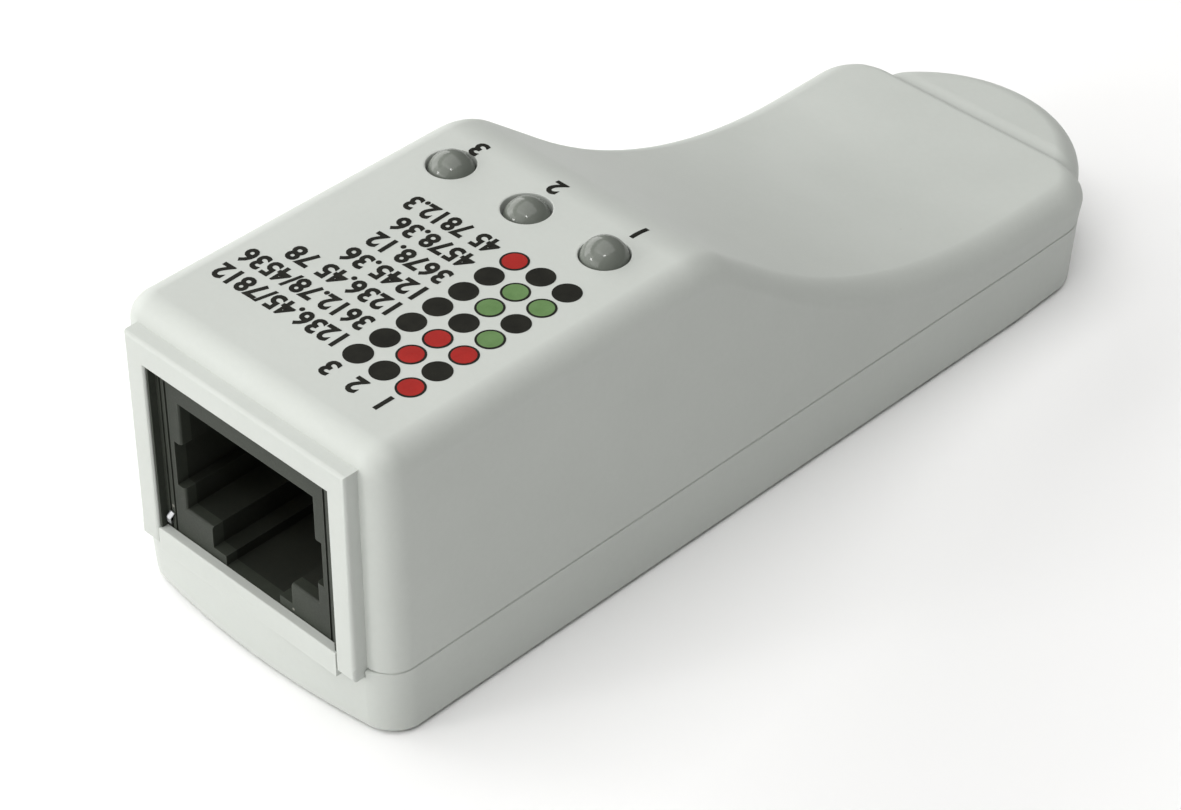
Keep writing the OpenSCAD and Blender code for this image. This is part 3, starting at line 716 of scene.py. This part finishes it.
def makeSocket():
    s = socketShape
    y0 = jackLow.y
    low = (jackLow.x, y0, boardHigh.z)
    block = roundedBlock("socketHousing", low, tuple(jackHigh), s["edge"], 3)
    r, foot, root = s["pegRadius"], jackLow.z, boardHigh.z + 0.2
    for side in (-1, 1):
        peg = lathe("peg", [(0, foot), (r - 0.3, foot), (r, foot + 0.35), (r, root), (0, root)],
                    (side * s["pegX"], y0 + s["pegY"]), 40)
        combine(block, peg, "UNION")

    def cut(halfW, near, far, bottom, top):
        carve(block, (-halfW, y0 + near, bottom), (halfW, y0 + far, top))

    depth = s["plugDepth"]
    combine(block, mouthCutter("plugMouth", s["plugWidth"] / 2, s["plugLow"], s["plugHigh"], y0,
                               depth + 0.01, s["flare"]))
    cut(s["grooveWidth"] / 2, -1, s["grooveDepth"], s["grooveLow"], s["grooveHigh"])
    cut(s["keyWidth"] / 2, -1, depth + 0.01, s["keyLow"], s["plugLow"] + 1)
    cut(s["latchWidth"] / 2, -1, depth + 0.01, boardHigh.z + 0.45, s["keyLow"] + 1)
    cut(s["chamberWidth"] / 2, depth, jackHigh.y - y0 + 1, boardHigh.z - 1, s["plugHigh"])
    for x in contactXs:
        carve(block, (x - s["slotWidth"] / 2, y0 + s["slotStart"], s["plugHigh"] - 1),
              (x + s["slotWidth"] / 2, jackHigh.y + 1, s["slotTop"]))
    # two fine grooves down each side of the face
    for side in (-1, 1):
        for x in s["faceGrooves"]:
            carve(block, (side * x - s["grooveHalf"], y0 - 1, boardHigh.z - 1),
                  (side * x + s["grooveHalf"], y0 + 0.14, jackHigh.z + 1))
    # two grip pockets in each side wall
    for side in (-1, 1):
        for z in s["gripsAt"]:
            carve(block, (side * s["gripFloor"], y0 + 10, z), (side * (jackHigh.x - 0.02), y0 + 12, z + 1.4))
    # thin side lips that line the opening of the case, level with its frame
    for side in (-1, 1):
        combine(block, roundedBlock("sideLip", (side * s["lipInner"], frontY + 0.16, mouth["bottom"] + 0.04),
                                    (side * s["lipOuter"], y0 + 0.3, mouth["top"] - 0.04), 0.05, 2), "UNION")
    # split the housing at the back of its grey face plate, where the painted cavity shade starts
    bm = bmesh.new()
    bm.from_mesh(block.data)
    bmesh.ops.bisect_plane(bm, geom=bm.verts[:] + bm.edges[:] + bm.faces[:], dist=1e-5,
                           plane_co=(0, y0 + s["faceDepth"], 0), plane_no=(0, 1, 0))
    bm.to_mesh(block.data)
    bm.free()
    return block


socket = finishPiece(makeSocket(), socketMaterial, "case", ["jack_housing"], 26)
socket.data.materials.append(insertAndCavityShadeMaterial)  # painted shade: behind its grey face plate the body is black, standing for the shade deep in the plug cavity
for face in socket.data.polygons:
    if face.center.y > (jackLow.y + socketShape["faceDepth"] - 0.001) * mm:
        face.material_index = 1
print("socket made")


# wires: Geometry Nodes sweep a rounded section along each path

def geometryTree(name, inputs):
    tree = bpy.data.node_groups.new(name, "GeometryNodeTree")
    tree.interface.new_socket("Geometry", in_out="INPUT", socket_type="NodeSocketGeometry")
    addInputs(tree, inputs)
    tree.interface.new_socket("Geometry", in_out="OUTPUT", socket_type="NodeSocketGeometry")
    return tree, tree.nodes.new("NodeGroupInput"), tree.nodes.new("NodeGroupOutput")


def runTree(piece, tree, **values):
    # inputs go in by their sockets' identifiers, then the result becomes a plain mesh
    step = piece.modifiers.new("nodes", "NODES")
    step.node_group = tree
    named = {item.name: item.identifier for item in tree.interface.items_tree
             if item.item_type == "SOCKET" and item.in_out == "INPUT"}
    for key, value in values.items():
        step[named[key.replace("_", " ")]] = value
    applyModifiers(piece)
    return piece


def closeTree(tree, source, start, material, end):
    # realize what the tree has made, paint it and hand it out
    real = addNode(tree, "GeometryNodeRealizeInstances")
    paint = addNode(tree, "GeometryNodeSetMaterial")
    tree.links.new(source, real.inputs["Geometry"])
    linkAll(tree, ((real, "Geometry", paint, "Geometry"), (start, material, paint, "Material"),
                   (paint, "Geometry", end, "Geometry")))
    return tree


def sweptWireTree():
    tree, start, end = geometryTree("swept wires", {
        "Wire Width": 0.4, "Wire Height": 0.3, "Bend Radius": 0.4, "Wire Material": None})
    curve = addNode(tree, "GeometryNodeMeshToCurve")
    bend = addNode(tree, "GeometryNodeFilletCurve", {"Count": 6}, mode="POLY")
    section = addNode(tree, "GeometryNodeCurvePrimitiveQuadrilateral")
    corner = addNode(tree, "GeometryNodeFilletCurve", {"Count": 3, "Radius": 0.09}, mode="POLY")
    sweep = addNode(tree, "GeometryNodeCurveToMesh", {"Fill Caps": True})
    linkAll(tree, (
        (start, "Geometry", curve, "Mesh"), (curve, "Curve", bend, "Curve"),
        (start, "Bend Radius", bend, "Radius"), (start, "Wire Width", section, "Width"),
        (start, "Wire Height", section, "Height"), (section, "Curve", corner, "Curve"),
        (bend, "Curve", sweep, "Curve"), (corner, "Curve", sweep, "Profile Curve")))
    return closeTree(tree, sweep.outputs["Mesh"], start, "Wire Material", end)


def pathPiece(name, paths):
    verts, edges = [], []
    for path in paths:
        edges += [(len(verts) + i, len(verts) + i + 1) for i in range(len(path) - 1)]
        verts += path
    mesh = bpy.data.meshes.new(name)
    mesh.from_pydata(verts, edges, [])
    return newPiece(name, mesh)


wireShape = {
    "width": 0.4, "height": 0.3, "springStart": 2.72, "springTop": 16.05, "springEnd": 11.2,
    "springLow": 12.9, "springBend": 1.2, "leadStart": 2.5, "leadTop": 16.65, "leadTails": (14.8, 17.3),
    "leadBend": 0.5,
    "tabWidth": 0.34, "tabThick": 0.12, "tabBend": 0.12, "tabX": -7.62, "tabLow": 6.25, "tabReach": 0.22,
}
wireTree = sweptWireTree()
springEnd = boxOf("contact_springs")[1].y
leadFoot = boxOf("contact_leads")[0].z
jackY = jackLow.y
springPaths = []
leadPaths = []
for i, x in enumerate(contactXs):
    tip, level = wireShape["springLow"], wireShape["leadTop"]
    springPaths.append([(x, jackY + wireShape["springStart"], wireShape["springTop"]),
                        (x, jackY + wireShape["springEnd"], tip), (x, springEnd, tip)])
    tail = jackY + wireShape["leadTails"][i % 2]
    leadPaths.append([(x, jackY + wireShape["leadStart"], level), (x, tail, level), (x, tail, leadFoot)])
x, low, reach = wireShape["tabX"], wireShape["tabLow"], wireShape["tabReach"]
tabPath = [(x, jackY + 0.4, low), (x, jackY - reach + 0.1, low), (x + 0.07, jackY - reach, low + 0.5),
           (x + 0.32, jackY - 0.05, low + 1.0)]

for name, paths, width, height, bend, material, body, slot, stands in (
        ("contactSprings", springPaths, wireShape["width"], wireShape["height"], wireShape["springBend"],
         goldMaterial, "contacts", "contact_gold", ["contact_springs"]),
        ("contactLeads", leadPaths, wireShape["width"], wireShape["height"], wireShape["leadBend"],
         goldMaterial, "case", "contact_gold", ["contact_leads"]),
        ("earthTab", [tabPath], wireShape["tabWidth"], wireShape["tabThick"], wireShape["tabBend"],
         tinMaterial, "case", "tinned", [])):
    wires = runTree(pathPiece(name, paths), wireTree, Wire_Width=width, Wire_Height=height, Bend_Radius=bend,
                    Wire_Material=material)
    finishPiece(wires, material, body, stands, 40)
print("contacts made")


# lamps

lampShape = {"radius": 1.56, "flange": 1.85, "flangeHeight": 1.0, "rimRound": 0.12}


def makeLamp(name, box):
    low, high = box
    r, f, h, e = lampShape["radius"], lampShape["flange"], lampShape["flangeHeight"], lampShape["rimRound"]
    base, top = low.z, high.z
    profile = [(0, base), (f - e, base), (f, base + e), (f, base + h - e), (f - e, base + h),
               (r + e * 0.6, base + h), (r, base + h + e)]
    for i in range(17):
        a = math.radians(90 * i / 16)
        profile.append((r * math.cos(a), top - r + r * math.sin(a)))
    profile[-1] = (0, top)
    return lathe(name, profile, ((low.x + high.x) / 2, (low.y + high.y) / 2), 72)


for n, box in enumerate(lampBoxes):
    lens = makeLamp("lamp%dLens" % (n + 1), box)
    finishPiece(lens, lensMaterial, "case", ["led_%d_lens" % (n + 1)], 40)
print("lamps made")


# printed chart

chart = {
    "dotRadius": 0.93, "rim": 0.15, "inkThick": 0.018, "inkSunk": 0.012,
    "columns": (7.48, 5.26, 3.02), "firstRow": 7.29, "rowPitch": 2.11,
    "rows": ("rkk", "krk", "rrk", "gkk", "kgk", "ggk", "kkr"),
    "labelStart": 1.42, "labelTilt": 2.2, "labelSize": 2.02, "markSize": 1.95,
    "rowLabels": (("1236.45/7812", 10.6), ("3612.78/4536", 10.6), ("1236.45 78", 8.8), ("1245.36", 6.4),
                  ("3678.12", 6.4), ("4578.36", 6.5), ("45 7812.3", 7.5)),
    "marks": (("1", 7.42, 5.2), ("2", 5.08, 5.2), ("3", 2.80, 5.2),
              ("1", 6.27, 27.3), ("2", -0.65, 27.05), ("3", -7.02, 26.55)),
}


def dotTree():
    tree, start, end = geometryTree("printed dots", {
        "Dot Radius": 0.93, "Ink Thick": 0.03, "Dot Material": None})
    disc = addNode(tree, "GeometryNodeMeshCylinder", {"Vertices": 48})
    repeat = addNode(tree, "GeometryNodeInstanceOnPoints")
    linkAll(tree, (
        (start, "Dot Radius", disc, "Radius"), (start, "Ink Thick", disc, "Depth"),
        (start, "Geometry", repeat, "Points"), (disc, "Mesh", repeat, "Instance")))
    return closeTree(tree, repeat.outputs["Instances"], start, "Dot Material", end)


def pointPiece(name, points):
    return newPiece(name, meshFrom(name, points, []))


def dotSpots(colours):
    return [(chart["columns"][c], frontY + chart["firstRow"] + chart["rowPitch"] * r)
            for r, row in enumerate(chart["rows"]) for c, mark in enumerate(row) if mark in colours]


printedDots = dotTree()
for name, colours, radius, lift, material in (
        ("printBlackDots", "krg", chart["dotRadius"], 0.0, inkBlackMaterial),
        ("printRedDots", "r", chart["dotRadius"] - chart["rim"], 0.008, inkRedMaterial),
        ("printGreenDots", "g", chart["dotRadius"] - chart["rim"], 0.008, inkGreenMaterial)):
    thick = chart["inkThick"] + chart["inkSunk"]
    middle = roofHeight + (chart["inkThick"] - chart["inkSunk"]) / 2 + lift
    dots = pointPiece(name, [(x, y, middle) for x, y in dotSpots(colours)])
    runTree(dots, printedDots, Dot_Radius=radius, Ink_Thick=thick, Dot_Material=material)
    finishPiece(dots, material, "case", (), 40)


def inkText(words, x, y, size, width=None, tilt=0.0):
    # upright for a reader at the tail who looks towards the socket; width is the length of the line
    text = bpy.data.curves.new("ink", "FONT")
    text.body = words
    text.size = size
    text.align_x = "LEFT" if width else "CENTER"
    text.offset = size * 0.033
    text.space_character = 1.04
    text.extrude = (chart["inkThick"] + chart["inkSunk"]) / 2
    text.resolution_u = 3
    holder = newPiece("ink", text)
    graph = bpy.context.evaluated_depsgraph_get()
    mesh = bpy.data.meshes.new_from_object(holder.evaluated_get(graph))
    bpy.data.objects.remove(holder)
    xs = [v.co.x for v in mesh.vertices]
    if width:
        stretch = Matrix.Diagonal((width / (max(xs) - min(xs)), 1, 1, 1))
        mesh.transform(stretch @ Matrix.Translation((-min(xs), 0, 0)))
    mesh.transform(Matrix.Translation((0, -size * 0.36, 0)))
    mesh.transform(Matrix.Translation((x, y, 0)) @ Matrix.Rotation(math.pi + math.radians(tilt), 4, "Z"))
    return mesh


def layOnRoof(mesh):
    # cut across the bend and drop onto the roof
    bm = bmesh.new()
    bm.from_mesh(mesh)
    low = min(v.co.y for v in bm.verts)
    high = max(v.co.y for v in bm.verts)
    y = max(low, crestStart)
    while y < high:
        everything = bm.verts[:] + bm.edges[:] + bm.faces[:]
        bmesh.ops.bisect_plane(bm, geom=everything, plane_co=(0, y, 0), plane_no=(0, 1, 0))
        y += 0.25
    middle = (chart["inkThick"] - chart["inkSunk"]) / 2
    for v in bm.verts:
        v.co.z += roofAt(v.co.y) + middle
    bmesh.ops.remove_doubles(bm, verts=bm.verts, dist=1e-4)
    bm.to_mesh(mesh)
    bm.free()


labels = []
for row, (words, width) in enumerate(chart["rowLabels"]):
    y = frontY + chart["firstRow"] + chart["rowPitch"] * row + 0.06
    labels.append(inkText(words, chart["labelStart"], y, chart["labelSize"], width, chart["labelTilt"]))
for words, x, y in chart["marks"]:
    labels.append(inkText(words, x, frontY + y, chart["markSize"]))
lettering = bmesh.new()
for mesh in labels:
    layOnRoof(mesh)
    lettering.from_mesh(mesh)
    bpy.data.meshes.remove(mesh)
printMesh = bpy.data.meshes.new("printNumbers")
lettering.to_mesh(printMesh)
lettering.free()
finishPiece(newPiece("printNumbers", printMesh), inkBlackMaterial, "case", (), 40)
print("chart printed")


# screw

screwShape = {
    "headRadius": 2.0, "headHeight": 1.1, "coreRadius": 0.86, "point": 1.0, "slotLength": 2.3,
    "slotWidth": 0.48, "slotDepth": 0.75, "slotTurn": 0.4, "turns": 4.6, "pitch": 0.7,
    "threadRadius": 0.9, "ridge": 0.17, "threadStart": 0.35,
}
screwHead = screwLow.z + screwShape["headHeight"]


def makeScrew():
    low, top = screwLow.z, screwHigh.z
    r, core = screwShape["headRadius"], screwShape["coreRadius"]
    profile = [(0, low), (1.1, low + 0.01), (1.6, low + 0.10), (1.88, low + 0.30), (r, low + 0.55),
               (r, screwHead - 0.08), (r - 0.06, screwHead), (core + 0.09, screwHead),
               (core, screwHead + 0.15), (core, top - screwShape["point"]), (0.35, top - 0.1), (0, top)]
    screw = lathe("shellScrew", profile, screwSpot, 64)
    halfLong, halfWide = screwShape["slotLength"] / 2, screwShape["slotWidth"] / 2
    slotTop = low + screwShape["slotDepth"]
    for a in (0, math.pi / 2):
        slot = roundedBlock("slot", (-halfLong, -halfWide, low - 1), (halfLong, halfWide, slotTop), 0)
        turn = Matrix.Rotation(a + screwShape["slotTurn"], 4, "Z")
        slot.data.transform(Matrix.Translation((*screwSpot, 0)) @ turn)
        combine(screw, slot)
    return screw


def threadTree():
    tree, start, end = geometryTree("screw thread", {
        "Turns": 5.0, "Pitch": 0.7, "Core Radius": 0.86, "Ridge": 0.2, "Thread Material": None})
    spiral = addNode(tree, "GeometryNodeCurveSpiral", {"Resolution": 28})
    section = addNode(tree, "GeometryNodeCurvePrimitiveCircle", {"Resolution": 5})
    product = addNode(tree, "ShaderNodeMath", operation="MULTIPLY")
    sweep = addNode(tree, "GeometryNodeCurveToMesh", {"Fill Caps": True})
    linkAll(tree, (
        (start, "Turns", product, 0), (start, "Pitch", product, 1),
        (start, "Turns", spiral, "Rotations"), (product, 0, spiral, "Height"),
        (start, "Core Radius", spiral, "Start Radius"), (start, "Core Radius", spiral, "End Radius"),
        (start, "Ridge", section, "Radius"), (spiral, "Curve", sweep, "Curve"),
        (section, "Curve", sweep, "Profile Curve")))
    return closeTree(tree, sweep.outputs["Mesh"], start, "Thread Material", end)


finishPiece(makeScrew(), screwMaterial, "case", ["shell_screw"], 30)
thread = pointPiece("screwThread", [(0, 0, 0)])
runTree(thread, threadTree(), Turns=screwShape["turns"], Pitch=screwShape["pitch"],
        Core_Radius=screwShape["threadRadius"], Ridge=screwShape["ridge"], Thread_Material=screwMaterial)
thread.data.transform(Matrix.Translation((*screwSpot, screwHead + screwShape["threadStart"])))
finishPiece(thread, screwMaterial, "case", (), 40)
print("screw made")


# carried-over CAD nodes

boardMaterial = plasticMaterial("green board", {
    "light": (0.022, 0.125, 0.052, 1), "dark": (0.012, 0.085, 0.034, 1), "worn": (0.35, 0.33, 0.18, 1),
    "rough": (0.22, 0.36), "bump": 0.1, "edgeWidth": 0.0002, "edgeShare": 0.6, "coat": 0.4})
keptNodes = (
    (boardMaterial, ("circuit_board",)),
    (insertAndCavityShadeMaterial, ("jack_insert",)),
    (chipMaterial, ("rectifier_1", "rectifier_2", "controller_chip", "surge_diode", "transistor")),
    (canMaterial, ("capacitor_can",)),
    (rubberMaterial, ("capacitor_plug",)),
    (resistorMaterial, ("resistors",)),
    (ceramicMaterial, ("ceramic_capacitors",)),
    (solderMaterial, ("solder_joints",)),
    (tinMaterial, ("led_1_leads", "led_2_leads", "led_3_leads", "rectifier_pins", "controller_pins",
                   "capacitor_leads", "surge_diode_tabs", "transistor_pins", "resistor_caps",
                   "ceramic_caps")),
)
for material, names in keptNodes:
    for name in names:
        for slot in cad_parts[name].material_slots:
            slot.material = material
print("carried-over nodes finished")


# floor, light and camera

def floorMaterial():
    material = bpy.data.materials.new("pale floor")
    material.use_nodes = True
    shader = material.node_tree.nodes["Principled BSDF"]
    shader.inputs["Base Color"].default_value = (0.97, 0.97, 0.97, 1)
    shader.inputs["Roughness"].default_value = 0.8
    return material


floorHalf, floorTop = 3.0, -0.0001
floorCorners = [(x * floorHalf, y * floorHalf, floorTop) for x, y in ((-1, -1), (1, -1), (1, 1), (-1, 1))]
floor = newPiece("floor", meshFrom("floor", floorCorners, [(0, 1, 2, 3)]))
floor.data.materials.append(floorMaterial())

lights = (
    # name, place, aims at, size, watts
    ("overhead softbox", (0, 0, 0.6), (0, 0, 0.01), (0.8, 0.8), 3.45),
    ("front softbox", (0, -0.6, 0.12), (0, 0, 0.01), (0.4, 0.24), 0.74),
    ("front left softbox", (-0.42, -0.42, 0.2), (0, 0, 0.01), (0.6, 0.36), 1.08),
    ("high front softbox", (0, -0.42, 0.42), (0, 0, 0.01), (0.5, 0.5), 0.72),
    ("left softbox", (-0.6, 0, 0.22), (0, 0, 0.01), (0.9, 0.38), 2.60),
    ("near glint", (0.162, -0.176, 0.345), (0, -0.013, 0.0215), (0.050, 0.050), 0.13),
    ("left glint", (-0.195, -0.448, 0.174), (0, -0.013, 0.0215), (0.080, 0.060), 0.28),
)
for name, place, aim, size, watts in lights:
    lamp = bpy.data.lights.new(name, "AREA")
    lamp.shape = "RECTANGLE"
    lamp.size, lamp.size_y = size
    lamp.energy = watts
    lamp.color = (1.0, 0.995, 0.985)
    holder = bpy.data.objects.new(name, lamp)
    holder.location = place
    holder.rotation_euler = (Vector(aim) - Vector(place)).to_track_quat("-Z", "Y").to_euler()
    bpy.context.scene.collection.objects.link(holder)

world = bpy.data.worlds.new("studio")
world.use_nodes = True
sky = world.node_tree.nodes["Background"]
sky.inputs["Color"].default_value = (0.97, 0.98, 1.0, 1)
sky.inputs["Strength"].default_value = 0.03
bpy.context.scene.world = world
bpy.context.scene.view_settings.view_transform = "Standard"

shot = {"place": (126.5, -135.0, 148.08), "turn": (51.147, -0.054, 44.779), "lens": 108.07}
camera = bpy.data.objects.new("camera", bpy.data.cameras.new("camera"))
camera.data.lens = shot["lens"]
camera.data.clip_start = 0.01
camera.data.clip_end = 20.0
camera.location = [v * mm for v in shot["place"]]
camera.rotation_euler = [math.radians(v) for v in shot["turn"]]
bpy.context.scene.collection.objects.link(camera)
bpy.context.scene.camera = camera
print("stage ready")
